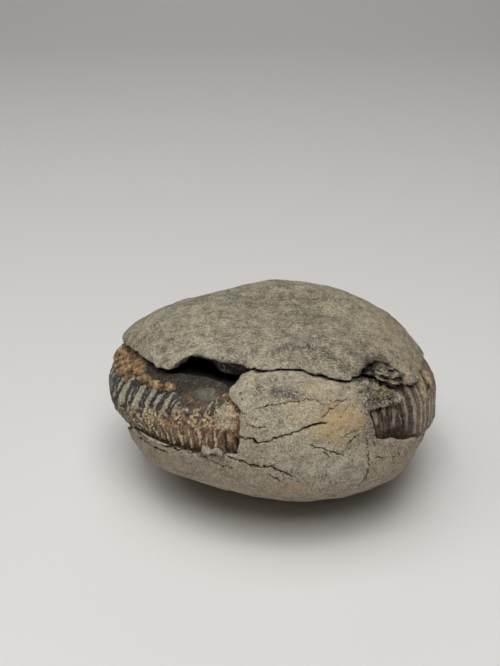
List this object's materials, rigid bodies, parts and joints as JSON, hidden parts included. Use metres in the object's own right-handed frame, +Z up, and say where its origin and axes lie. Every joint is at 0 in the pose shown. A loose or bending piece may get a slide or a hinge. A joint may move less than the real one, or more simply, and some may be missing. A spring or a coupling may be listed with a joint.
{
  "type": "fossil ammonite",
  "caption": "Ribbed fossil ammonite lying in a split oval stone nodule, its outer whorl showing at both sides of the front.",
  "frame": {"origin": "on the worn flat face under the base stone, straight below the middle of the nodule", "axes": "+X to the right along the nodule's width, -Y to the front where the shell shows, +Z up"},
  "size_m": [0.0925, 0.0872, 0.0538],
  "materials": {
    "base_matrix": "dull grey-brown mudstone, smooth with fine cracks and pits",
    "fossil_shell": "dark brown to grey mineralised shell with cream and honey ribs",
    "cap_matrix": "dull warm grey mudstone with light flecks"
  },
  "bodies": {
    "root": {"base_stone": "base_matrix", "ammonite": "fossil_shell", "cap_stone": "cap_matrix"}
  },
  "joints": []
}
